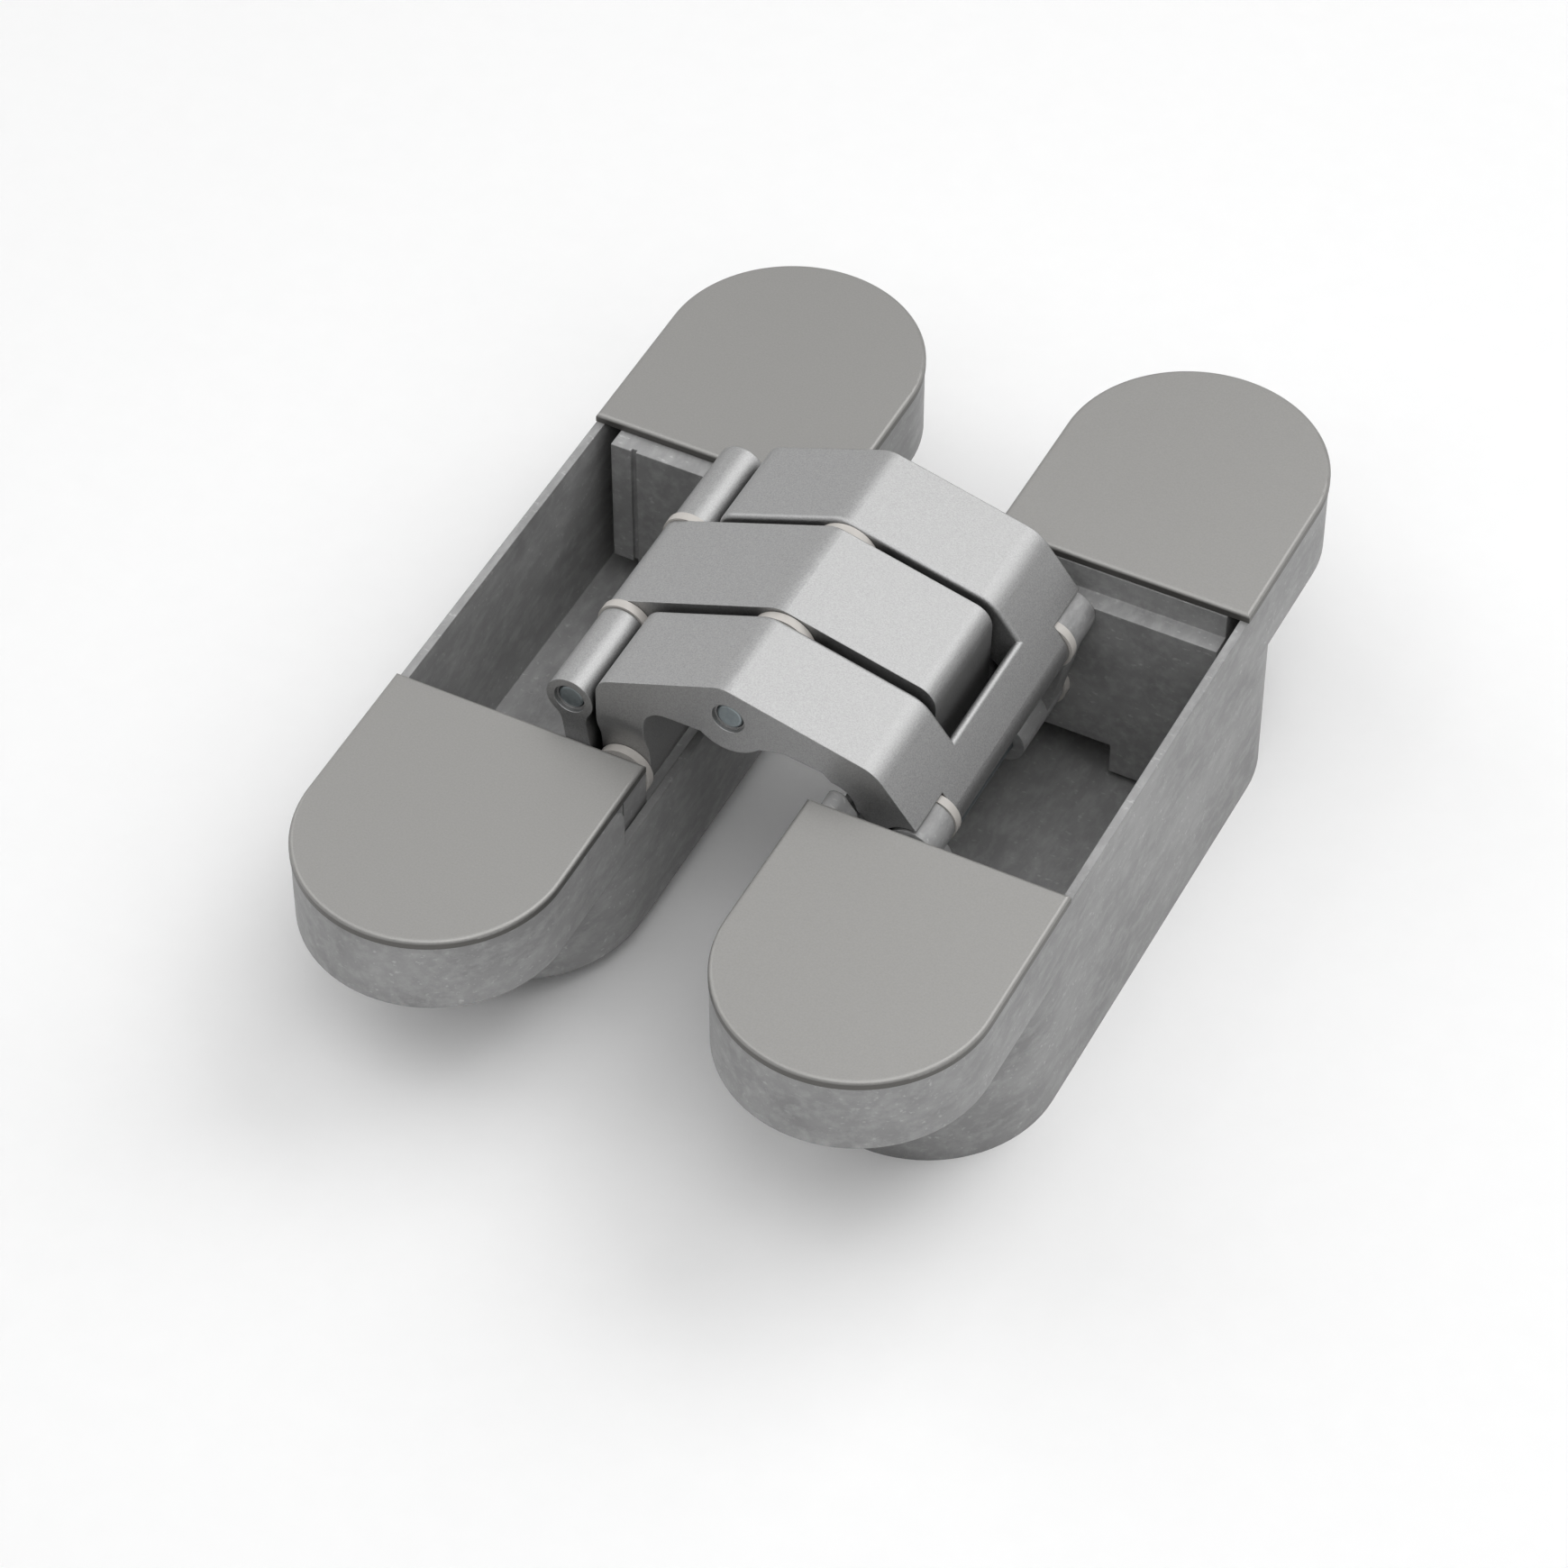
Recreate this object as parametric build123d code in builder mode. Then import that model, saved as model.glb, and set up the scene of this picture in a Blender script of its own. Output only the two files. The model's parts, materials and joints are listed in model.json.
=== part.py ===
"""Concealed door hinge, shown open at 180 degrees: two mortised housings joined by two
crossed arms and two links. Millimetres, +Z out of the door face. The origin is the centre
of the left housing's screw pattern, on the plane where its flanges seat. The pieces are
drawn with Z = 0 on that housing's rim, and moved up by the flange depth when saved."""

import os
from math import acos, atan, atan2, cos, degrees, hypot, sin

from build123d import *

os.makedirs("parts", exist_ok=True)

# Housings and covers
body_width = 28.0
body_length = 104.4
body_gap = 17.7          # between the two housings, door open
body_rise = 4.1          # how far the right housing stands above the left one
shell_inset = 0.1        # covers overhang the housings by this much
wall = 0.9
floor_thickness = 0.9
flange_depth = 8.6       # below the rim
left_depth = 20.6        # deep part, below the rim
right_depth = 27.5
front_round_inset = 29.7 # from the body's end to the centre of the deep part's front round
rear_round_inset = 27.7
well_depth = 3.5         # recess under each cover
notch_past_block = 6.65  # how far the low gap-side wall runs past the blocks' faces
notch_depth = 6.5
notch_radius = 3.0
cover_thickness = 1.0
cover_edge_radius = 0.45
cover_past_arm = 2.3     # from the outer arm's side to the covers' edges
peg_radius = 1.25
peg_length = 4.6
peg_clearance = 0.1
peg_inset = 3.2          # from the body's end
peg_side_x = 10.2
peg_side_inset = 13.7

# Screw holes in the flanges
screw_hole_radius = 2.5
screw_head_radius = 4.7
screw_spacing_x = 12.0
screw_inset = 9.2        # from the body's end

# Pivots in the side view, as (X, Z)
left_arm_pivot = (9.98, -4.39)       # outer arm to the left housing
cross_pivot = (21.88, 9.09)          # outer arm to inner arm
right_arm_pivot = (36.57, -1.80)     # inner arm to the right housing
left_head_pivot = (4.31, 3.53)       # left link to the inner arm
left_foot_pivot = (6.45, -11.54)     # left link to the left housing
right_head_pivot = (41.50, -0.05)    # right links to the outer arm
right_foot_pivot = (38.95, -11.01)   # right links to the right housing

# Arms, links, pins and washers
arm_half = 18.5          # half width across the outer arm
inner_half = 6.35
side_play = 0.05
washer_thickness = 1.0
washer_radius = 2.8
cross_washer_radius = 3.5
leg_washer_radius = 3.0
right_washer_step = 0.1  # right arm washers stand out from the hub by this much
pin_radius = 1.4
cross_pin_radius = 1.45
foot_pin_radius = 1.2
pin_clearance = 0.04
pin_recess = 0.3         # pin ends lie below the faces
recess_radius_step = 0.3
recess_depth = 0.5
leg_boss_radius = 2.7
cross_boss_radius = 4.3
cross_boss_step = 0.3    # inner arm's boss is smaller by this much
head_barrel_radius = 2.55
right_barrel_radius = 2.45
right_ear_radius = 2.65
hub_radius = 2.05
foot_barrel_radius = 2.5
link_clearance = 0.45
shank_half = 1.35
shank_neck_radius = 2.0
fork_share = 0.67        # part of the fork's length above the web between its shanks
right_shank_half = 2.3
foot_barrel_inner = 8.25
bridge_half = 12.65
edge_break = 0.35
seat_margin = 0.2        # flat round a leg's washer
seat_flank = 4.6         # width of the sweep from the seat out to the cheek's face

# Outlines of the arms in the side view, as (X, Z) points and the radii at them
ridge_point = (21.09, 13.05)         # where both arms' roofs turn
roof_slope = 0.406
ridge_radius = 3.0
leg_roof_radius = 2.2
front_knee = (37.64, 8.93)           # where the outer arm's roof turns down
front_knee_radius = 4.0
cheek_front_length = 7.44            # from the front knee down to the cheeks' lower corner
cheek_toe = (38.70, 0.40)
belly_front = (32.05, 6.45)
belly = (27.85, 7.05)
belly_radius = 2.0
waist = (23.65, 5.90)
arch_front = (19.65, 6.00)
arch_rear = (12.40, 6.05)
arch_radius = 2.5
ear_relief = (32.90, 2.60)           # centre of the cheeks' relief over the right blocks' ears
ear_relief_radius = 2.95
slot_front_length = 4.74             # from the front knee down to the slot's end
slot_end_foot = (39.25, 2.00)
slot_edge_radius = 0.5
inner_knee = (38.35, 8.75)
inner_knee_radius = 2.4
inner_heel = (38.10, -0.60)
inner_toe = (34.70, -1.60)
inner_shin = (34.05, 4.20)
inner_shin_radius = 1.5
inner_belly_front = (29.85, 6.60)
inner_belly_radius = 3.0
inner_belly = (24.35, 5.90)
inner_waist = (19.35, 6.20)

# Bearing blocks, the carriers of the fixed pins
block_side_play = 0.05
block_length_y = 10.7
block_top_gap = 0.1
block_end_clearance = 0.3
pocket_end_gap = 0.35
left_block_x = (-11.05, 12.9)        # from the housing's centre
left_block_lift = 3.7                # above the pocket's floor
right_block_x = (-12.9, 11.65)
right_block_lift = 1.0
right_block_step = 3.8
right_block_step_x = 0.85
ledge_depth = 3.1
ledge_setback = 2.2
ear_width = 3.2
ear_rise = 0.6
left_rebate_depth = 2.0
block_groove_width = 0.6
block_groove_depth = 0.4
block_groove_inset = 2.6
pin_reach = 6.0                      # how far a fixed pin goes into its block

# Clamp and adjusting screws under the covers
clamp_past_block = 6.45              # from the blocks' faces
clamp_offset = 2.0
clamp_head_radius = 3.4
clamp_head_height = 3.0
clamp_radius = 2.0
clamp_clearance = 0.15
clamp_boss_radius = 4.0
hex_socket = 3.0
hex_depth = 1.8
adjuster_past_pocket = 3.4
adjuster_head_radius = 3.95
adjuster_head_height = 2.4
adjuster_radius = 2.0
adjuster_length = 4.0

# Worked out from the sizes above
right_x = body_width + body_gap
slot_half = inner_half + washer_thickness + 2 * side_play
recess_face = arm_half - washer_thickness - side_play
block_face = arm_half + block_side_play
pocket_half = block_face + block_length_y + pocket_end_gap
notch_half = block_face + notch_past_block
cover_opening_half = arm_half + cover_past_arm
ledge_y = block_face + ledge_setback
clamp_y = block_face + clamp_past_block
adjuster_y = pocket_half + adjuster_past_pocket
deep_front = front_round_inset - body_length / 2
deep_rear = body_length / 2 - rear_round_inset
screw_spacing_y = body_length - 2 * screw_inset
peg_y = body_length / 2 - peg_inset
peg_side_y = body_length / 2 - peg_side_inset
left_block_height = left_depth - floor_thickness - left_block_lift - block_top_gap
right_block_height = (
    right_depth - floor_thickness - right_block_lift - right_block_step - block_top_gap
)
roof_angle = atan(roof_slope)
head_washer_inner = bridge_half + side_play
head_washer_outer = head_washer_inner + washer_thickness
right_ear_inner = head_washer_outer + side_play


def side_plane(y):
    """Side view at depth y: local x is X, local y is Z, and an extrusion runs towards -Y."""
    return Plane(origin=(0, y, 0), x_dir=(1, 0, 0), z_dir=(0, -1, 0))


def disc(centre, radius, mode=Mode.ADD):
    """Circle round a pivot in a side-view sketch."""
    with Locations(centre):
        Circle(radius, mode=mode)


def bar(start, end, half_width):
    """Straight shank between two pivots in a side-view sketch."""
    length = hypot(end[0] - start[0], end[1] - start[1])
    angle = degrees(atan2(end[1] - start[1], end[0] - start[0]))
    middle = ((start[0] + end[0]) / 2, (start[1] + end[1]) / 2)
    with Locations(middle):
        Rectangle(length, 2 * half_width, rotation=angle)


def drill(centre, radius, y_from, y_to):
    """Bore along Y in the part being built."""
    with BuildSketch(side_plane(y_to)) as bore:
        disc(centre, radius)
    extrude(bore.sketch, amount=y_to - y_from, mode=Mode.SUBTRACT)


def save(part, name):
    """Writes one piece, moved from rim height to the seat plane."""
    placed = Pos(0, 0, flange_depth) * part
    placed.label = name
    export_step(placed, f"parts/{name}.step")


# Housings
def deep_outline(inset):
    """Plan of the deep part, drawn in from its own edge by inset."""
    with Locations((0, (deep_front + deep_rear) / 2)):
        SlotCenterToCenter(deep_rear - deep_front, body_width - 2 * inset, rotation=90)


def end_region(end, start):
    """Keeps what lies beyond |y| = start at one end of a plan sketch."""
    reach = body_length
    with Locations((0, end * (start + reach / 2))):
        Rectangle(2 * body_width, reach, mode=Mode.INTERSECT)


def housing(centre_x, rim_z, depth, gap_side, clamp_boss_height):
    """Cast shell with a flange at each end; gap_side is +1 where the gap is on its +X side."""
    def level(z):
        return Plane(origin=(centre_x, 0, rim_z + z))

    with BuildPart() as shell:
        with BuildSketch(level(-flange_depth)):
            SlotOverall(body_length - 2 * shell_inset, body_width - 2 * shell_inset, rotation=90)
        extrude(amount=flange_depth)
        with BuildSketch(level(-depth)):
            deep_outline(shell_inset)
        extrude(amount=depth - flange_depth)
        # Pocket for the arms, with the blocks at its ends
        with BuildSketch(level(floor_thickness - depth)):
            deep_outline(shell_inset + wall)
            Rectangle(body_width, 2 * pocket_half, mode=Mode.INTERSECT)
        extrude(amount=depth, mode=Mode.SUBTRACT)
        # Recess under each cover
        for end in (-1, 1):
            with BuildSketch(level(-well_depth)):
                SlotOverall(
                    body_length - 2 * (shell_inset + wall),
                    body_width - 2 * (shell_inset + wall),
                    rotation=90,
                )
                end_region(end, pocket_half - wall)
            extrude(amount=well_depth, mode=Mode.SUBTRACT)
        with Locations(level(-well_depth)):
            with GridLocations(screw_spacing_x, screw_spacing_y, 2, 2):
                CounterSinkHole(screw_hole_radius, screw_head_radius)
        # Sockets for the covers' pegs and bores for the adjusting screws
        for end in (-1, 1):
            with Locations(level(-well_depth)):
                with Locations(
                    (0, end * peg_y), (peg_side_x, end * peg_side_y), (-peg_side_x, end * peg_side_y)
                ):
                    Hole(peg_radius + peg_clearance, peg_length - well_depth + peg_clearance)
                with Locations((0, end * adjuster_y)):
                    Hole(adjuster_radius, adjuster_length)
        # Gap-side wall, cut down between the flanges with rounded upper corners
        notch_x = centre_x + gap_side * (body_width / 2 - shell_inset - wall - side_play)
        with BuildSketch(Plane(origin=(notch_x, 0, rim_z), x_dir=(0, 1, 0), z_dir=(1, 0, 0))):
            Rectangle(2 * notch_half, 2 * notch_depth)
            with Locations((notch_half, -notch_radius / 2), (-notch_half, -notch_radius / 2)):
                Rectangle(2 * notch_radius, notch_radius)
            with Locations(
                (notch_half + notch_radius, -notch_radius), (-notch_half - notch_radius, -notch_radius)
            ):
                Circle(notch_radius, mode=Mode.SUBTRACT)
        extrude(amount=gap_side * body_width / 2, mode=Mode.SUBTRACT)
        # Bosses that the blocks stand on
        for end in (-1, 1):
            with BuildSketch(level(floor_thickness - depth)):
                with Locations((-gap_side * clamp_offset, end * clamp_y)):
                    Circle(clamp_boss_radius)
                    Circle(clamp_radius, mode=Mode.SUBTRACT)
            extrude(amount=clamp_boss_height)
    return shell.part


save(housing(0, 0, left_depth, 1, left_block_lift), "left_housing")
save(housing(right_x, body_rise, right_depth, -1, right_block_lift), "right_housing")


# Covers, each with three pegs
def cover(centre_x, rim_z, end):
    def level(z):
        return Plane(origin=(centre_x, 0, rim_z + z))

    with BuildPart() as plate:
        with BuildSketch(level(0)):
            SlotOverall(body_length, body_width, rotation=90)
            end_region(end, cover_opening_half)
        extrude(amount=cover_thickness)
        fillet(plate.faces().sort_by(Axis.Z)[-1].edges(), cover_edge_radius)
        with BuildSketch(level(-peg_length)):
            with Locations(
                (0, end * peg_y), (peg_side_x, end * peg_side_y), (-peg_side_x, end * peg_side_y)
            ):
                Circle(peg_radius)
        extrude(amount=peg_length)
    return plate.part


for side, centre_x, rim_z in (("left", 0, 0), ("right", right_x, body_rise)):
    for place, end in (("front", -1), ("rear", 1)):
        save(cover(centre_x, rim_z, end), f"{side}_{place}_cover")


# Bearing blocks
def pocket_end(centre_x, rim_z, bottom, top):
    """Prism of the pocket's end, drawn in by the block's clearance, to trim a block with."""
    with BuildPart(mode=Mode.PRIVATE) as prism:
        with BuildSketch(Plane(origin=(centre_x, 0, rim_z + bottom))):
            deep_outline(shell_inset + wall + block_end_clearance)
            Rectangle(body_width, 2 * (pocket_half - block_end_clearance), mode=Mode.INTERSECT)
        extrude(amount=top - bottom)
    return prism.part


def clamp_bore(centre_x, rim_z, gap_side, top, end):
    """Counterbore and clearance hole for the clamp screw."""
    with Locations(Plane(origin=(centre_x - gap_side * clamp_offset, end * clamp_y, rim_z + top))):
        CounterBoreHole(
            clamp_radius + clamp_clearance,
            clamp_head_radius + clamp_clearance,
            clamp_head_height + clamp_clearance,
        )


def adjuster_notch(centre_x, rim_z, end):
    """Round notch in the block's tail, worked by the adjusting screw's head."""
    with BuildSketch(Plane(origin=(centre_x, end * adjuster_y, rim_z - well_depth))) as notch:
        Circle(adjuster_head_radius + block_end_clearance)
    extrude(notch.sketch, amount=well_depth, mode=Mode.SUBTRACT)


def left_block(end):
    low = -block_top_gap - left_block_height
    x_from, x_to = left_block_x
    middle_y = end * (block_face + block_length_y / 2)
    with BuildPart() as block:
        with Locations(((x_from + x_to) / 2, middle_y, -block_top_gap)):
            Box(x_to - x_from, block_length_y, left_block_height,
                align=(Align.CENTER, Align.CENTER, Align.MAX))
        add(pocket_end(0, 0, low, 0), mode=Mode.INTERSECT)
        # Upright groove in the face towards the arms
        with Locations((x_from + block_groove_inset, end * block_face, -block_top_gap)):
            Box(block_groove_width, 2 * block_groove_depth, 2 * left_block_height,
                mode=Mode.SUBTRACT)
        if end < 0:
            # Rebate across the front block's face, which leaves its washer in view
            with Locations((0, end * block_face, -block_top_gap)):
                Box(body_width, 2 * ledge_setback, 2 * left_rebate_depth, mode=Mode.SUBTRACT)
        clamp_bore(0, 0, 1, -block_top_gap, end)
        adjuster_notch(0, 0, end)
        bore_end = block_face + pin_reach + side_play
        y_from, y_to = sorted((0, end * bore_end))
        drill(left_arm_pivot, pin_radius + pin_clearance, y_from, y_to)
        drill(left_foot_pivot, foot_pin_radius + pin_clearance, y_from, y_to)
    return block.part


def right_block(end):
    x_from, x_to = right_block_x
    step_low = -block_top_gap - right_block_height - right_block_step
    with BuildPart() as block:
        # Low ledge at the face, full height behind it, and the ear at the gap side
        with BuildSketch(side_plane(end * block_face)):
            with BuildLine():
                Polyline(
                    (right_x + x_from, body_rise - ledge_depth),
                    (right_x + x_to, body_rise - ledge_depth),
                    (right_x + x_to, body_rise + step_low),
                    (right_x + right_block_step_x, body_rise + step_low),
                    (right_x + right_block_step_x, body_rise + step_low + right_block_step),
                    (right_x + x_from, body_rise + step_low + right_block_step),
                    close=True,
                )
            make_face()
        extrude(amount=-end * block_length_y)
        with Locations((right_x + (x_from + x_to) / 2, end * ledge_y, body_rise - ledge_depth)):
            Box(x_to - x_from, block_length_y - ledge_y + block_face, ledge_depth - block_top_gap,
                align=(Align.CENTER, Align.MIN if end > 0 else Align.MAX, Align.MIN))
        add(pocket_end(right_x, body_rise, step_low, -block_top_gap), mode=Mode.INTERSECT)
        with BuildSketch(side_plane(end * block_face)):
            with BuildLine():
                FilletPolyline(
                    (right_x + x_from, body_rise - ledge_depth),
                    (right_x + x_from, body_rise + ear_rise),
                    (right_x + x_from + ear_width / 2, body_rise + ear_rise),
                    (right_x + x_from + ear_width, body_rise - ear_width / 2),
                    (right_x + x_from + ear_width, body_rise - ledge_depth),
                    radius=(0, ear_width / 4, ear_width / 4, ear_width / 4, 0),
                    close=True,
                )
            make_face()
        extrude(amount=-end * (cover_opening_half - block_face - side_play))
        clamp_bore(right_x, body_rise, -1, -block_top_gap, end)
        adjuster_notch(right_x, body_rise, end)
        bore_end = block_face + pin_reach + side_play
        y_from, y_to = sorted((0, end * bore_end))
        drill(right_arm_pivot, pin_radius + pin_clearance, y_from, y_to)
        drill(right_foot_pivot, foot_pin_radius + pin_clearance, y_from, y_to)
    return block.part


for place, end in (("front", -1), ("rear", 1)):
    save(left_block(end), f"left_{place}_block")
    save(right_block(end), f"right_{place}_block")


# Outer arm: two cheeks with a leg each, joined by a bridge round the right links' pin
def tangent_point(point, centre, radius):
    """Where a line from a point touches a circle, on the side away from the slot."""
    distance = hypot(point[0] - centre[0], point[1] - centre[1])
    angle = atan2(point[1] - centre[1], point[0] - centre[0]) - acos(radius / distance)
    return (centre[0] + radius * cos(angle), centre[1] + radius * sin(angle))


def roof_z(x):
    """Height of both arms' roofs on the frame's side of the ridge."""
    return ridge_point[1] - roof_slope * (ridge_point[0] - x)


leg_left = left_arm_pivot[0] - leg_boss_radius
leg_right = left_arm_pivot[0] + leg_boss_radius
bridge_tangent = tangent_point(front_knee, right_head_pivot, right_barrel_radius)


def down_front(length):
    """Point on the outer arm's front face, that far below the front knee."""
    run, rise = bridge_tangent[0] - front_knee[0], bridge_tangent[1] - front_knee[1]
    share = length / hypot(run, rise)
    return (front_knee[0] + share * run, front_knee[1] + share * rise)


cheek_corner = down_front(cheek_front_length)
slot_end_top = down_front(slot_front_length)


def boss_under_roof(radius):
    """Boss round the cross pin, kept below the arms' rounded roofs."""
    disc(cross_pivot, radius)
    with BuildLine() as under_roof:
        FilletPolyline(
            (leg_left, roof_z(leg_left)),
            ridge_point,
            front_knee,
            (front_knee[0], left_foot_pivot[1]),
            (leg_left, left_foot_pivot[1]),
            radius=(0, ridge_radius, 0, 0, 0),
            close=True,
        )
    make_face(under_roof.edges(), mode=Mode.INTERSECT)


def outer_arm_profile(front_corner):
    """Cheek in the side view; the face under the front knee ends at front_corner."""
    boss_under_roof(cross_boss_radius)
    with BuildLine() as outline:
        FilletPolyline(
            (leg_left, left_arm_pivot[1]),
            (leg_left, roof_z(leg_left)),
            ridge_point,
            front_knee,
            front_corner,
            right_head_pivot,
            cheek_toe,
            belly_front,
            belly,
            waist,
            arch_front,
            arch_rear,
            (leg_right, left_arm_pivot[1]),
            radius=(
                0,
                leg_roof_radius,
                ridge_radius,
                front_knee_radius,
                0,
                0,
                0,
                0,
                belly_radius,
                0,
                0,
                arch_radius,
                0,
            ),
            close=True,
        )
    make_face(outline.edges())
    disc(left_arm_pivot, leg_boss_radius)


def leg_seat(side):
    """Cuts a leg's round washer seat, whose flank sweeps out to the cheek's face."""
    seat_radius = leg_washer_radius + seat_margin
    middle = (seat_radius + seat_flank / 2, side * (recess_face + arm_half) / 2)
    rim = (seat_radius + seat_flank, side * arm_half)
    pivot = (left_arm_pivot[0], 0, left_arm_pivot[1])
    with BuildSketch(Plane(origin=pivot, x_dir=(1, 0, 0), z_dir=(0, 0, 1))) as profile:
        with BuildLine() as outline:
            Line((0, side * recess_face), (seat_radius, side * recess_face))
            TangentArc((seat_radius, side * recess_face), middle, tangent=(1, 0))
            TangentArc(rim, middle, tangent=(-1, 0))
            Polyline(rim, (rim[0], side * body_width), (0, side * body_width), (0, side * recess_face))
        make_face(outline.edges())
    revolve(profile.sketch, axis=Axis(pivot, (0, 1, 0)), mode=Mode.SUBTRACT)


def on_slot_rim(edge):
    """True for the slot's edges on the outer arm's roof and front face."""
    middle = edge.center()
    if abs(middle.Y) > slot_half + side_play:
        return False
    if middle.X > front_knee[0]:
        return middle.Z > slot_end_top[1] - side_play
    return abs(middle.Y) > slot_half - side_play and middle.Z > belly[1]


with BuildPart() as outer_arm:
    with BuildSketch(side_plane(arm_half)):
        outer_arm_profile(cheek_corner)
        disc(right_head_pivot, right_ear_radius + link_clearance, mode=Mode.SUBTRACT)
        disc(ear_relief, ear_relief_radius, mode=Mode.SUBTRACT)
    extrude(amount=arm_half - bridge_half)
    with BuildSketch(side_plane(bridge_half)):
        outer_arm_profile(bridge_tangent)
        disc(right_head_pivot, right_barrel_radius)
    extrude(amount=bridge_half - slot_half)
    # Half of the bridge, past the slot's end
    with BuildSketch(side_plane(slot_half)):
        with BuildLine():
            Polyline(slot_end_top, bridge_tangent, right_head_pivot, slot_end_foot, close=True)
        make_face()
        disc(right_head_pivot, right_barrel_radius)
    extrude(amount=slot_half)
    mirror(about=Plane.XZ)
    fillet(outer_arm.edges().filter_by(on_slot_rim), slot_edge_radius)
    for side in (-1, 1):
        leg_seat(side)
    drill(left_arm_pivot, pin_radius + pin_clearance, -arm_half, arm_half)
    drill(cross_pivot, cross_pin_radius + pin_clearance, -arm_half, arm_half)
    drill(right_head_pivot, pin_radius + pin_clearance, -arm_half, arm_half)
    for y_from, y_to in ((arm_half - recess_depth, arm_half), (-arm_half, recess_depth - arm_half)):
        drill(cross_pivot, cross_pin_radius + recess_radius_step, y_from, y_to)
save(outer_arm.part, "outer_arm")

# Inner arm: one broad plate between the cheeks, with a full-width hub at its foot
head_rise = (-head_barrel_radius * sin(roof_angle), head_barrel_radius * cos(roof_angle))
with BuildPart() as inner_arm:
    with BuildSketch(side_plane(inner_half)):
        boss_under_roof(cross_boss_radius - cross_boss_step)
        with BuildLine():
            FilletPolyline(
                left_head_pivot,
                (left_head_pivot[0] + head_rise[0], left_head_pivot[1] + head_rise[1]),
                ridge_point,
                inner_knee,
                inner_heel,
                right_arm_pivot,
                inner_toe,
                inner_shin,
                inner_belly_front,
                inner_belly,
                inner_waist,
                (left_head_pivot[0] - head_rise[0], left_head_pivot[1] - head_rise[1]),
                radius=(
                    0,
                    0,
                    ridge_radius,
                    inner_knee_radius,
                    0,
                    0,
                    0,
                    inner_shin_radius,
                    inner_belly_radius,
                    0,
                    0,
                    0,
                ),
                close=True,
            )
        make_face()
        disc(left_head_pivot, head_barrel_radius)
        disc(right_arm_pivot, hub_radius)
    extrude(amount=2 * inner_half)
    with BuildSketch(side_plane(recess_face)):
        disc(right_arm_pivot, hub_radius)
    extrude(amount=2 * recess_face)
    drill(left_head_pivot, pin_radius + pin_clearance, -arm_half, arm_half)
    drill(cross_pivot, cross_pin_radius + pin_clearance, -arm_half, arm_half)
    drill(right_arm_pivot, pin_radius + pin_clearance, -arm_half, arm_half)
save(inner_arm.part, "inner_arm")


# Left link: a fork whose two barrels flank the inner arm's end
def link_section():
    """Barrel and shank in the side view, with a rounded neck between them."""
    with BuildSketch(mode=Mode.PRIVATE) as section:
        disc(left_head_pivot, head_barrel_radius)
        bar(left_head_pivot, left_foot_pivot, shank_half)
        necks = section.vertices().filter_by(
            lambda v: abs(
                hypot(v.X - left_head_pivot[0], v.Y - left_head_pivot[1]) - head_barrel_radius
            )
            < side_play
        )
        fillet(necks, shank_neck_radius)
    return section.sketch


with BuildPart() as left_link:
    with BuildSketch(side_plane(arm_half)):
        add(link_section())
        disc(left_foot_pivot, washer_radius + link_clearance, mode=Mode.SUBTRACT)
    extrude(amount=arm_half - recess_face)
    with BuildSketch(side_plane(recess_face)):
        add(link_section())
        disc(left_foot_pivot, foot_barrel_radius)
    extrude(amount=recess_face - slot_half)
    fork_root = (
        left_head_pivot[0] + fork_share * (left_foot_pivot[0] - left_head_pivot[0]),
        left_head_pivot[1] + fork_share * (left_foot_pivot[1] - left_head_pivot[1]),
    )
    with BuildSketch(side_plane(slot_half)):
        bar(fork_root, left_foot_pivot, shank_half)
        disc(left_foot_pivot, foot_barrel_radius)
    extrude(amount=slot_half)
    mirror(about=Plane.XZ)
    drill(left_head_pivot, pin_radius + pin_clearance, -arm_half, arm_half)
    drill(left_foot_pivot, foot_pin_radius + pin_clearance, -arm_half, arm_half)
    for y_from, y_to in ((arm_half - recess_depth, arm_half), (-arm_half, recess_depth - arm_half)):
        drill(left_head_pivot, pin_radius + recess_radius_step, y_from, y_to)
save(left_link.part, "left_link")


# Right links: an ear at the outer arm's bridge and a broad barrel at the foot
def right_link(end):
    with BuildPart() as link:
        with BuildSketch(side_plane(arm_half)):
            disc(right_head_pivot, right_ear_radius)
        extrude(amount=arm_half - right_ear_inner)
        with BuildSketch(side_plane(recess_face)):
            bar(right_head_pivot, right_foot_pivot, right_shank_half)
        extrude(amount=recess_face - right_ear_inner)
        with BuildSketch(side_plane(recess_face)):
            disc(right_foot_pivot, foot_barrel_radius)
        extrude(amount=recess_face - foot_barrel_inner)
        drill(right_head_pivot, pin_radius + pin_clearance, 0, arm_half)
        drill(right_foot_pivot, foot_pin_radius + pin_clearance, 0, arm_half)
        if end < 0:
            mirror(about=Plane.XZ, mode=Mode.REPLACE)
    return link.part


for place, end in (("front", -1), ("rear", 1)):
    save(right_link(end), f"right_{place}_link")


# Pins
def pin(pivot, radius, half_length):
    with BuildPart() as rod:
        with BuildSketch(side_plane(half_length)):
            disc(pivot, radius)
        extrude(amount=2 * half_length)
        fillet(rod.edges().filter_by(GeomType.CIRCLE), edge_break)
    return rod.part


short_pin = arm_half - pin_recess
long_pin = block_face + pin_reach
save(pin(cross_pivot, cross_pin_radius, short_pin), "cross_pin")
save(pin(left_head_pivot, pin_radius, short_pin), "left_link_pin")
save(pin(right_head_pivot, pin_radius, short_pin), "right_link_pin")
save(pin(left_foot_pivot, foot_pin_radius, short_pin), "left_foot_pin")
save(pin(right_foot_pivot, foot_pin_radius, short_pin), "right_foot_pin")
save(pin(left_arm_pivot, pin_radius, long_pin), "left_arm_pin")
save(pin(right_arm_pivot, pin_radius, long_pin), "right_arm_pin")


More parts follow.
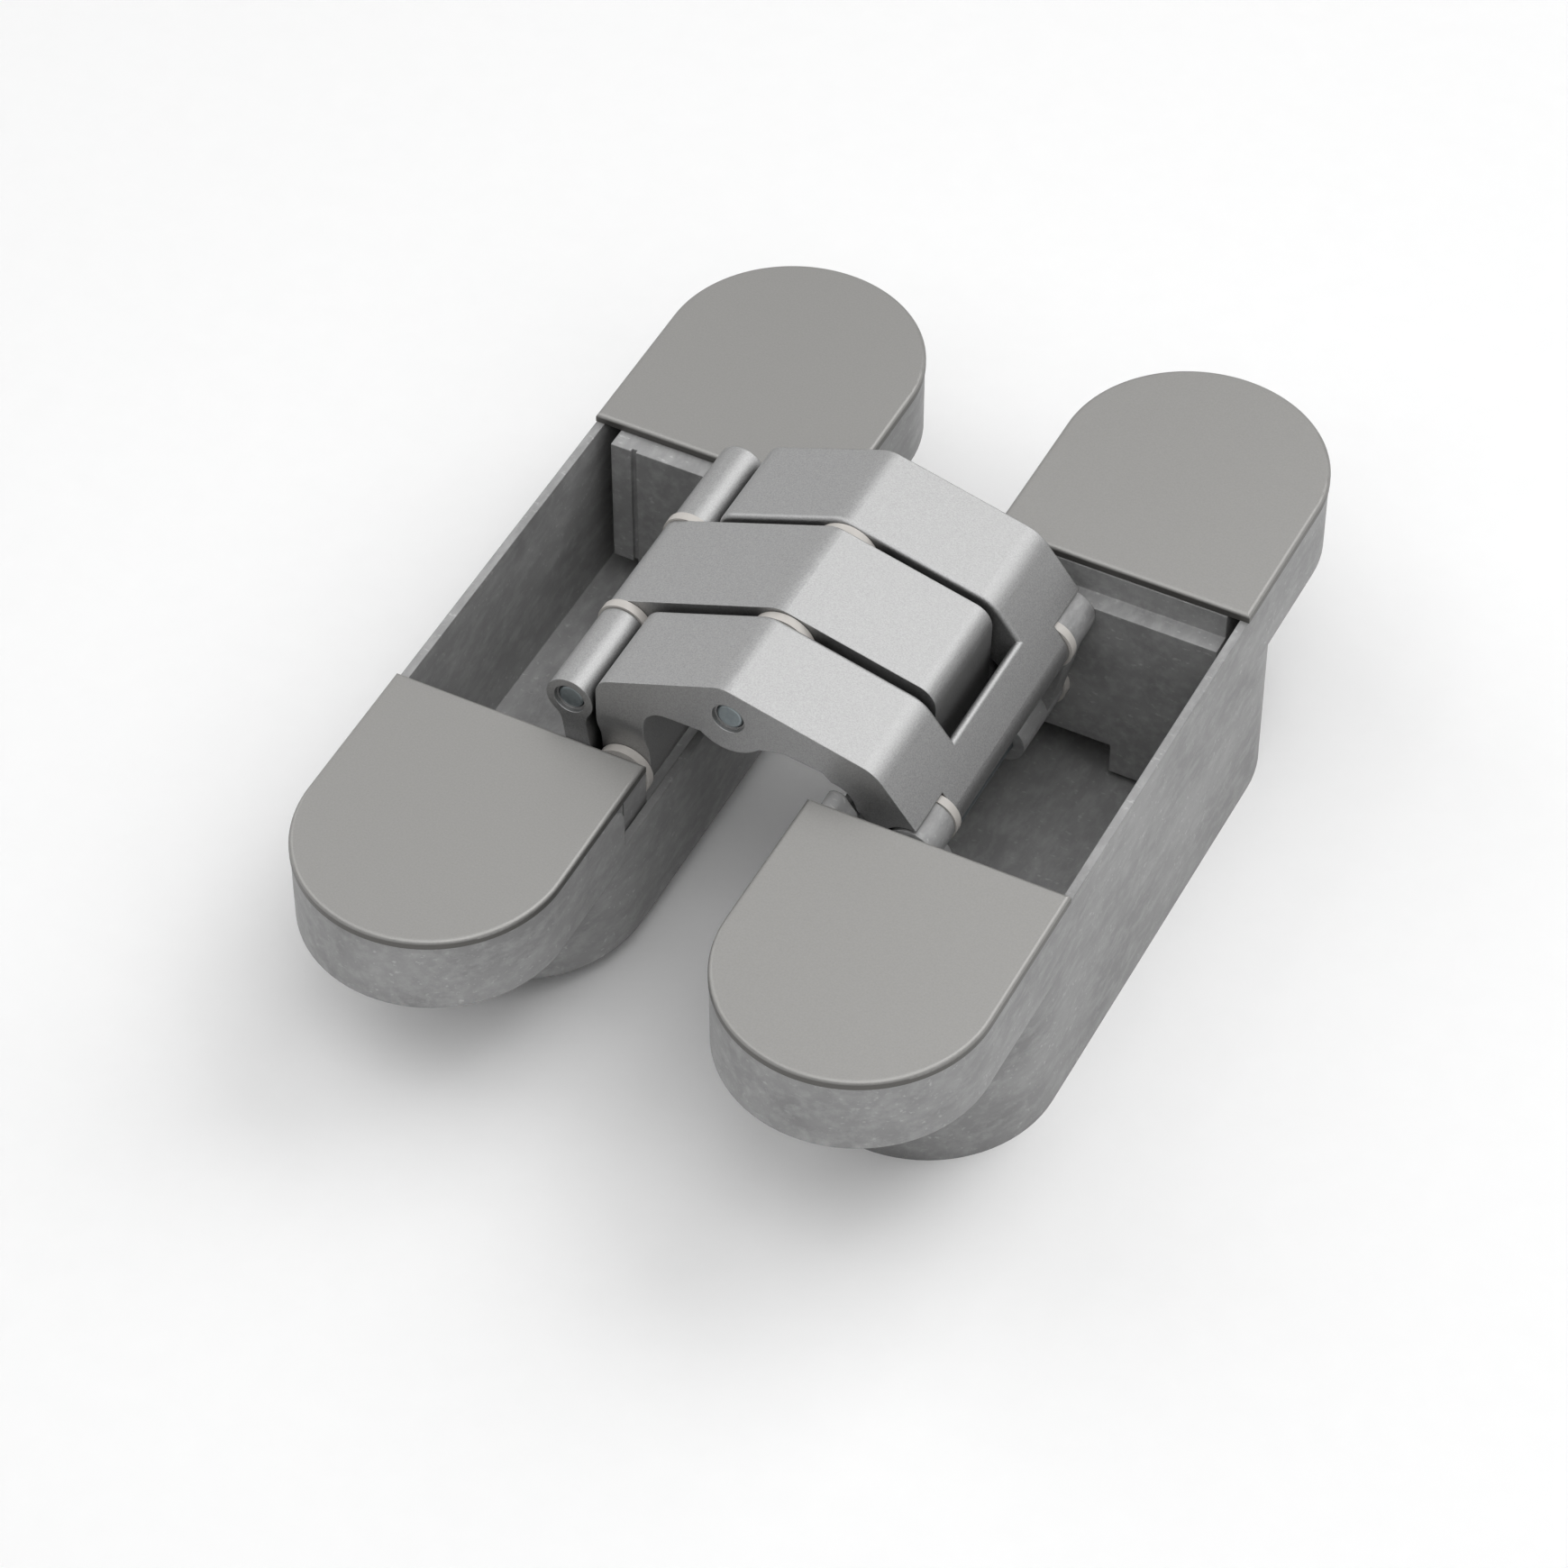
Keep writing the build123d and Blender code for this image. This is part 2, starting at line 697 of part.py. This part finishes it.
# Washers, in pairs
def washers(pivot, radius, bore, outer_face):
    with BuildPart() as pair:
        with BuildSketch(side_plane(outer_face)):
            disc(pivot, radius)
            disc(pivot, bore + pin_clearance, mode=Mode.SUBTRACT)
        extrude(amount=washer_thickness)
        mirror(about=Plane.XZ)
    return pair.part


slot_washer_face = inner_half + side_play + washer_thickness
save(
    washers(cross_pivot, cross_washer_radius, cross_pin_radius, slot_washer_face), "cross_washers"
)
save(washers(left_head_pivot, washer_radius, pin_radius, slot_washer_face), "left_link_washers")
save(washers(right_head_pivot, washer_radius, pin_radius, head_washer_outer), "right_link_washers")
save(washers(left_arm_pivot, leg_washer_radius, pin_radius, arm_half), "left_arm_washers")
save(
    washers(right_arm_pivot, hub_radius + right_washer_step, pin_radius, arm_half),
    "right_arm_washers",
)
save(washers(left_foot_pivot, washer_radius, foot_pin_radius, arm_half), "left_foot_washers")
save(washers(right_foot_pivot, washer_radius, foot_pin_radius, arm_half), "right_foot_washers")


# Clamp and adjusting screws, in pairs
def screw_pair(places, head_radius, head_height, radius, length):
    """Two screws with hexagon sockets, each placed by the underside of its head."""
    with BuildPart(mode=Mode.PRIVATE) as screw:
        with BuildSketch():
            Circle(head_radius)
        extrude(amount=head_height)
        with BuildSketch():
            Circle(radius)
        extrude(amount=-length)
        with BuildSketch(Plane.XY.offset(head_height)):
            RegularPolygon(hex_socket / 2, 6, major_radius=False)
        extrude(amount=-hex_depth, mode=Mode.SUBTRACT)
    with BuildPart() as pair:
        with Locations(places):
            add(screw.part)
    return pair.part


clamp_seat = -block_top_gap - clamp_head_height - clamp_clearance
for side, centre_x, rim_z, gap_side, depth in (
    ("left", 0, 0, 1, left_depth), ("right", right_x, body_rise, -1, right_depth)
):
    clamp_places = [
        (centre_x - gap_side * clamp_offset, end * clamp_y, rim_z + clamp_seat) for end in (-1, 1)
    ]
    clamp_length = depth - floor_thickness + clamp_seat - pin_clearance
    save(
        screw_pair(clamp_places, clamp_head_radius, clamp_head_height, clamp_radius, clamp_length),
        f"{side}_clamp_screws",
    )
    adjuster_places = [(centre_x, end * adjuster_y, rim_z - well_depth) for end in (-1, 1)]
    save(
        screw_pair(
            adjuster_places,
            adjuster_head_radius,
            adjuster_head_height,
            adjuster_radius,
            adjuster_length,
        ),
        f"{side}_adjusting_screws",
    )
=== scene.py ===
# %% [markdown]
# A concealed door hinge: two cast zinc housings with painted cover plates, joined by
# satin-plated arms that cross on a pin. The solids come from the frame, so this lesson
# is about the finishes, the small broken edges and the light.

# %% Load the frame
import bpy
import json
import math
from mathutils import Matrix, Vector


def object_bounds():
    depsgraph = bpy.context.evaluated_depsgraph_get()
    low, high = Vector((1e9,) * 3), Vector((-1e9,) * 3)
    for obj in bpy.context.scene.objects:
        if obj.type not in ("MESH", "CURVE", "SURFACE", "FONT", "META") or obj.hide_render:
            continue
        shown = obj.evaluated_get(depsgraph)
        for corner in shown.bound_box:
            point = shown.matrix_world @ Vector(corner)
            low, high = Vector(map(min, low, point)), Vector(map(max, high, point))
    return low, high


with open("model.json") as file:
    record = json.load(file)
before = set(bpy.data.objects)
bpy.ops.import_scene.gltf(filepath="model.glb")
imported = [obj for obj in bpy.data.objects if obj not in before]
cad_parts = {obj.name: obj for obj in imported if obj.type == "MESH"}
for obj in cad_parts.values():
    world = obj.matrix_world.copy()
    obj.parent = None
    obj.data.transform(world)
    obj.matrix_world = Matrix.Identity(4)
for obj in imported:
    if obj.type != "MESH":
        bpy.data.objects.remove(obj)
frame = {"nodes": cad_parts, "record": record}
cad_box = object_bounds()
MM = 0.001
print("nodes loaded:", len(frame["nodes"]))

# %% [markdown]
# Colours are easiest to choose as they look on a screen, but Blender mixes them as
# amounts of light. Two small helpers turn one into the other.

# %% Colours
def srgb(r, g, b):
    """Colour as seen on screen, 0 to 255, as the linear values that Blender mixes."""
    def linear(c):
        c /= 255
        return c / 12.92 if c <= 0.04045 else ((c + 0.055) / 1.055) ** 2.4
    return (linear(r), linear(g), linear(b), 1.0)


def grey(level):
    return srgb(level, level, level)


print("middle grey as light:", round(grey(128)[0], 3))

# %% [markdown]
# Every finish is a node material on Object coordinates, so that its grain stays fixed to
# the metal. The helpers below add a node, join two sockets, make noise and blend two
# colours by a factor. They keep each finish to a dozen readable lines.

# %% A finish under construction
class Finish:
    """A material with its shader, its Object coordinates and its normal."""

    def __init__(self, name):
        self.material = bpy.data.materials.new(name)
        self.material.use_nodes = True
        self.tree = self.material.node_tree
        self.shader = self.tree.nodes["Principled BSDF"]
        source = self.tree.nodes.new("ShaderNodeTexCoord")
        self.coordinates = source.outputs["Object"]
        self.normal = source.outputs["Normal"]

    def node(self, kind, **inputs):
        made = self.tree.nodes.new(kind)
        for key, value in inputs.items():
            made.inputs[key.replace("_", " ")].default_value = value
        return made

    def join(self, out, into):
        self.tree.links.new(out, into)

    def feed(self, **sockets):
        """Join sockets to the shader's own inputs."""
        for key, out in sockets.items():
            self.join(out, self.shader.inputs[key.replace("_", " ")])

    def set(self, **inputs):
        """Set the shader's own inputs to fixed values."""
        for key, value in inputs.items():
            self.shader.inputs[key.replace("_", " ")].default_value = value

    def noise(self, patches, detail, roughness, vector=None):
        """Noise with that many patches per metre."""
        made = self.node(
            "ShaderNodeTexNoise", Scale=patches, Detail=detail, Roughness=roughness
        )
        self.join(vector or self.coordinates, made.inputs["Vector"])
        return made.outputs["Fac"]

    def remap(self, value, low, high, to_low, to_high):
        made = self.node(
            "ShaderNodeMapRange", From_Min=low, From_Max=high, To_Min=to_low, To_Max=to_high
        )
        self.join(value, made.inputs["Value"])
        return made.outputs["Result"]

    def blend(self, factor, first, second):
        """Colour between two, each a fixed colour or a socket."""
        mix = self.tree.nodes.new("ShaderNodeMix")
        mix.data_type = "RGBA"
        factor_in, colours_in, colour_out = mix.inputs[0], mix.inputs[6:8], mix.outputs[2]
        self.join(factor, factor_in)
        for socket, colour in zip(colours_in, (first, second)):
            if isinstance(colour, tuple):
                socket.default_value = colour
            else:
                self.join(colour, socket)
        return colour_out

    def bump(self, height, depth, strength, onto=None):
        """Relief of that depth in metres, on the plain normal or on another one."""
        made = self.node("ShaderNodeBump", Strength=strength, Distance=depth)
        self.join(height, made.inputs["Height"])
        if onto is not None:
            self.join(onto, made.inputs["Normal"])
        self.feed(Normal=made.outputs["Normal"])
        return made.outputs["Normal"]


print("helpers:", ", ".join(name for name in vars(Finish) if not name.startswith("_")))

# %% [markdown]
# The housings, blocks and the two door-side links are bare die-cast zinc. On the real
# casting the skin is mottled: broad cloudy patches a few millimetres across, lighter flow
# streaks that run along the housing, and small bright flecks where the mould released.
# Three noises of different size give these, and the streaks change the roughness too.
# The edges are barely broken, so a bevelled normal gives each its thin line of light.

# %% Raw cast zinc
CLOUDS_PER_METRE, STREAKS_PER_METRE, FLECKS_PER_METRE = 170, 900, 2400
STREAK_DEPTH, FLECK_DEPTH = 0.05 * MM, 0.03 * MM
CAST_EDGE = 0.2 * MM
EDGE_SAMPLES = 6


def stretched(finish, x, y, z):
    """Object coordinates scaled along each axis, for grain that runs one way."""
    mapping = finish.node("ShaderNodeMapping", Scale=(x, y, z))
    finish.join(finish.coordinates, mapping.inputs["Vector"])
    return mapping.outputs["Vector"]


def times(finish, first, second):
    made = finish.tree.nodes.new("ShaderNodeMath")
    made.operation = "MULTIPLY"
    finish.join(first, made.inputs[0])
    finish.join(second, made.inputs[1])
    return made.outputs["Value"]


def rounded_edges(finish, radius):
    """Normal that turns round each sharp edge, as a tumbled or cast edge does."""
    made = finish.node("ShaderNodeBevel", Radius=radius)
    made.samples = EDGE_SAMPLES
    return made.outputs["Normal"]


def raw_zinc():
    finish = Finish("raw_zinc")
    along = stretched(finish, 0.8, 0.35, 0.8)
    across = stretched(finish, 0.5, 0.8, 0.9)
    clouds = finish.noise(CLOUDS_PER_METRE, detail=6, roughness=0.62, vector=along)
    streaks = finish.noise(STREAKS_PER_METRE, detail=5, roughness=0.65, vector=along)
    flecks = finish.noise(FLECKS_PER_METRE, detail=2, roughness=0.5, vector=across)
    broad = finish.remap(clouds, 0.36, 0.64, 0.0, 1.0)
    light = finish.remap(streaks, 0.45, 0.7, 0.0, 0.6)
    patch = finish.remap(clouds, 0.42, 0.58, 0.25, 1.0)
    bright = times(finish, finish.remap(flecks, 0.63, 0.74, 0.0, 0.5), patch)
    colour = finish.blend(broad, grey(135), grey(154))
    colour = finish.blend(light, colour, grey(175))
    colour = finish.blend(bright, colour, grey(205))
    finish.feed(Base_Color=colour, Roughness=finish.remap(streaks, 0.3, 0.7, 0.5, 0.6))
    finish.set(Metallic=0.15)
    pitted = finish.bump(flecks, FLECK_DEPTH, 0.2, onto=rounded_edges(finish, CAST_EDGE))
    finish.bump(streaks, STREAK_DEPTH, 0.3, onto=pitted)
    return finish.material


RAW_ZINC = raw_zinc()
print("made", RAW_ZINC.name)

# %% [markdown]
# The cover plates have a flat satin paint, warm grey and even. Close up it has a fine
# orange-peel grain, so the colour moves by a hair and the bump is very small. Below the
# rounded rim the upright sides are painted darker: painted shade on the upright faces.

# %% Satin cover paint
PEEL_PER_METRE, PEEL_DEPTH = 5200, 0.03 * MM


def facing_up(finish, low, high):
    """0 on upright faces and 1 on flat tops, by the solid's own normal."""
    split = finish.tree.nodes.new("ShaderNodeSeparateXYZ")
    finish.join(finish.normal, split.inputs["Vector"])
    return finish.remap(split.outputs["Z"], low, high, 0.0, 1.0)


def cover_paint():
    finish = Finish("satin_cover")
    peel = finish.noise(PEEL_PER_METRE, detail=2, roughness=0.6)
    tone = finish.remap(peel, 0.3, 0.7, 0.0, 1.0)
    colour = finish.blend(tone, srgb(145, 144, 141.8), srgb(151.5, 150.5, 148.3))
    # painted shade: upright faces of the covers get a dark grey, flat tops keep the paint
    # colour
    colour = finish.blend(facing_up(finish, 0.1, 0.5), srgb(95, 93.5, 91), colour)
    finish.feed(Base_Color=colour, Roughness=finish.remap(peel, 0.3, 0.7, 0.4, 0.48))
    finish.set(Metallic=0.6)
    finish.bump(peel, PEEL_DEPTH, 0.3)
    return finish.material


COVER_PAINT = cover_paint()
print("made", COVER_PAINT.name)

# %% [markdown]
# The arms and the frame-side link are cast, blasted and plated in satin chrome. The
# plating is lighter than the paint and sparkles: each blasted dimple catches the light
# on its own. A fine noise in both the bump and the roughness makes that sparkle. In the
# slots between the arms an ambient occlusion mask paints the walls dark: painted shade
# where the arms face each other.

# %% Satin plated arms
DIMPLES_PER_METRE, DIMPLE_DEPTH = 6500, 0.04 * MM
PLATED_EDGE = 0.15 * MM
SLOT_REACH, SLOT_SAMPLES = 2.5 * MM, 8


def painted_gap_shade(finish, reach, low, high):
    """1 where another surface faces this one within reach, and 0 out in the open."""
    made = finish.node("ShaderNodeAmbientOcclusion", Distance=reach)
    made.samples = SLOT_SAMPLES
    return finish.remap(made.outputs["AO"], low, high, 1.0, 0.0)


def satin_plate():
    finish = Finish("satin_arm")
    dimples = finish.noise(DIMPLES_PER_METRE, detail=2, roughness=0.6)
    tone = finish.remap(dimples, 0.35, 0.65, 0.0, 1.0)
    colour = finish.blend(tone, grey(151), grey(170))
    # painted shade: the plating turns dark grey where another surface is close, in the slots
    # between the arms
    colour = finish.blend(painted_gap_shade(finish, SLOT_REACH, 0.12, 0.5), colour, grey(48))
    finish.feed(Base_Color=colour, Roughness=finish.remap(dimples, 0.3, 0.7, 0.42, 0.52))
    finish.set(Metallic=0.9)
    finish.bump(dimples, DIMPLE_DEPTH, 0.5, onto=rounded_edges(finish, PLATED_EDGE))
    return finish.material


SATIN_PLATE = satin_plate()
print("made", SATIN_PLATE.name)

# %% [markdown]
# Pins are ground steel with a cool oiled face. The screws under the covers are bright
# zinc plate. The washers are pale acetal, the one warm thing here. All three are fine and
# even, so one helper makes them from two colours and two roughnesses.

# %% Pins, screws and washers
GRAIN_DEPTH = 0.02 * MM


def fine_grain(name, patches, detail, colours, roughnesses, metallic):
    finish = Finish(name)
    grain = finish.noise(patches, detail, roughness=0.5)
    finish.feed(
        Base_Color=finish.blend(grain, *colours),
        Roughness=finish.remap(grain, 0.3, 0.7, *roughnesses),
    )
    finish.set(Metallic=metallic)
    finish.bump(grain, GRAIN_DEPTH, 0.3)
    return finish.material


GROUND_STEEL = fine_grain(
    "steel_pin", 2600, 2, (srgb(132, 142, 146), srgb(164, 172, 175)), (0.3, 0.42), 0.9
)
BRIGHT_PLATE = fine_grain(
    "zinc_plated_steel", 900, 3, (srgb(158, 161, 168), srgb(196, 198, 202)), (0.22, 0.34), 0.95
)
ACETAL = fine_grain(
    "washer_plastic", 1200, 2, (srgb(186, 182, 177), srgb(202, 198, 193)), (0.42, 0.52), 0.0
)
print("made", GROUND_STEEL.name, BRIGHT_PLATE.name, ACETAL.name)

# %% [markdown]
# The record says which finish each solid has. Its material slot is filled from a table,
# so a solid that is added later gets its finish by name.

# %% Dress the solids by the record's material slots
FINISHES = {
    "raw_zinc": RAW_ZINC,
    "satin_cover": COVER_PAINT,
    "satin_arm": SATIN_PLATE,
    "steel_pin": GROUND_STEEL,
    "zinc_plated_steel": BRIGHT_PLATE,
    "washer_plastic": ACETAL,
}
for part in frame["record"]["subparts"]:
    node = frame["nodes"][part["node"]]
    node.data.materials.clear()
    node.data.materials.append(FINISHES[part["material_slot"]])

# %% [markdown]
# The camera stands where the photograph was taken, worked out from the housings' straight
# edges. It looks down at 47 degrees, turned 27 degrees from the front, through a long lens
# that keeps the edges nearly parallel. Its three axes are written as the rows of that
# view, so nothing is left to an aim point.

# %% Camera at the photograph's angle
CAMERA_PLACE = Vector((198.85, -353.2, 415.6))
HINGE_MIDDLE = Vector((23.0, 0.0, 0.0))
FOCAL_PIXELS, PHOTO_PIXELS = 6321.8, 1740
SENSOR_WIDTH = 36.0
VIEW_RIGHT = Vector((0.89062, 0.45475, 0.0))
VIEW_DOWN = Vector((0.33302, -0.6522, -0.68098))
VIEW_FORWARD = Vector((-0.30967, 0.60649, -0.7323))

camera_data = bpy.data.cameras.new("camera")
camera_data.sensor_width = SENSOR_WIDTH
camera_data.lens = SENSOR_WIDTH * FOCAL_PIXELS / PHOTO_PIXELS
camera_data.clip_start = 10 * MM
camera = bpy.data.objects.new("camera", camera_data)
bpy.context.scene.collection.objects.link(camera)
axes = Matrix((VIEW_RIGHT, -VIEW_DOWN, -VIEW_FORWARD)).transposed()
camera.matrix_world = Matrix.Translation(CAMERA_PLACE * MM) @ axes.to_4x4()
bpy.context.scene.camera = camera
away_by = (CAMERA_PLACE - HINGE_MIDDLE).length
print("lens", round(camera_data.lens, 1), "mm, camera", round(away_by), "mm away")

# %% [markdown]
# The photograph is a product shot on white paper. The lamps light the paper only near the
# hinge, so further out it turns white for the camera, and half as white in a reflection.
# A Light Path node tells these rays from the light that the paper throws on the hinge.

# %% Floor
FLOOR_Z = cad_box[0].z
FLOOR_SIZE = 2.4
POOL_EDGE, WHITE_BEYOND = 0.16, 0.4
REFLECTED_SHARE = 0.5


def white_share(tree):
    """How white the surroundings are: 1 to the camera, half in a reflection, else 0."""
    path = tree.nodes.new("ShaderNodeLightPath")
    share = path.outputs["Is Camera Ray"]
    for kind in ("Is Glossy Ray", "Is Transmission Ray"):
        more = tree.nodes.new("ShaderNodeMath")
        more.operation = "MULTIPLY_ADD"
        more.use_clamp = True
        more.inputs[1].default_value = REFLECTED_SHARE
        tree.links.new(path.outputs[kind], more.inputs[0])
        tree.links.new(share, more.inputs[2])
        share = more.outputs["Value"]
    return share


def mix_shaders(tree, factor, first, second, output):
    """Send a mix of two shaders to the output's Surface."""
    mixed = tree.nodes.new("ShaderNodeMixShader")
    tree.links.new(factor, mixed.inputs["Fac"])
    tree.links.new(first, mixed.inputs[1])
    tree.links.new(second, mixed.inputs[2])
    tree.links.new(mixed.outputs["Shader"], tree.nodes[output].inputs["Surface"])


paper = Finish("paper")
fibre = paper.noise(300, detail=2, roughness=0.5)
paper.feed(Base_Color=paper.blend(fibre, grey(249), grey(253)))
paper.set(Roughness=0.9, Metallic=0.0)
from_middle = paper.node("ShaderNodeVectorMath")
from_middle.operation = "LENGTH"
paper.join(paper.coordinates, from_middle.inputs[0])
outskirts = paper.remap(from_middle.outputs["Value"], POOL_EDGE, WHITE_BEYOND, 0.0, 1.0)
white = paper.node("ShaderNodeEmission", Strength=1.0)
mix_shaders(
    paper.tree,
    times(paper, outskirts, white_share(paper.tree)),
    paper.shader.outputs["BSDF"],
    white.outputs["Emission"],
    "Material Output",
)
bpy.ops.mesh.primitive_plane_add(size=FLOOR_SIZE, location=(0.0, 0.0, FLOOR_Z))
floor = bpy.context.object
floor.name = "floor"
floor.data.materials.append(paper.material)
print("floor at", round(FLOOR_Z / MM, 2), "mm")

# %% [markdown]
# Seven soft boxes stand round the hinge. Four carry the light: in front, to the right in
# front, behind to the right, and on the left. The one at the top and two weak ones low on
# the sides open the shadows. Their strengths were solved together, so that each surface
# comes out as light or dark as in the photograph.

# %% Soft boxes
BOX_DISTANCE, BOX_SIZE = 700.0, 600.0
SOFT_BOXES = (  # name, azimuth from +X towards +Y and elevation in degrees, watts
    ("front box", -90.0, 60.0, 1.61),
    ("rear box", 60.0, 50.0, 2.16),
    ("top box", 75.0, 75.0, 0.71),
    ("left rear box", 140.0, 30.0, 0.3),
    ("left box", 180.0, 45.0, 1.47),
    ("right box", 30.0, 25.0, 0.18),
    ("right front box", -30.0, 50.0, 1.57),
)


def soft_box(name, azimuth, elevation, watts):
    """Square area lamp aimed at the hinge's middle."""
    data = bpy.data.lights.new(name, "AREA")
    data.size = BOX_SIZE * MM
    data.energy = watts
    made = bpy.data.objects.new(name, data)
    bpy.context.scene.collection.objects.link(made)
    turn, rise = math.radians(azimuth), math.radians(elevation)
    level = Vector((math.cos(turn), math.sin(turn), 0.0))
    away = math.cos(rise) * level + Vector((0.0, 0.0, math.sin(rise)))
    made.location = (HINGE_MIDDLE + BOX_DISTANCE * away) * MM
    made.rotation_euler = (-away).to_track_quat("-Z", "Y").to_euler()


for box in SOFT_BOXES:
    soft_box(*box)
print(len(SOFT_BOXES), "soft boxes,", round(sum(box[3] for box in SOFT_BOXES), 2), "W")

# %% [markdown]
# The world is almost dark as a lamp, so that the soft boxes do the lighting, and white
# behind the hinge. The same share as on the floor lets the metal reflect that white.

# %% White surroundings
FILL, WHITE = 0.01, 1.0
world = bpy.data.worlds.new("studio")
bpy.context.scene.world = world
world.use_nodes = True
sky = world.node_tree
fill = sky.nodes["Background"]
backdrop = sky.nodes.new("ShaderNodeBackground")
for shader, strength in ((fill, FILL), (backdrop, WHITE)):
    shader.inputs["Color"].default_value = (1.0, 1.0, 1.0, 1.0)
    shader.inputs["Strength"].default_value = strength
mix_shaders(
    sky,
    white_share(sky),
    fill.outputs["Background"],
    backdrop.outputs["Background"],
    "World Output",
)
bpy.context.scene.view_settings.view_transform = "Standard"
print("world: fill", FILL, "and white", WHITE)

# %% [markdown]
# Blender must not change the hinge's size.
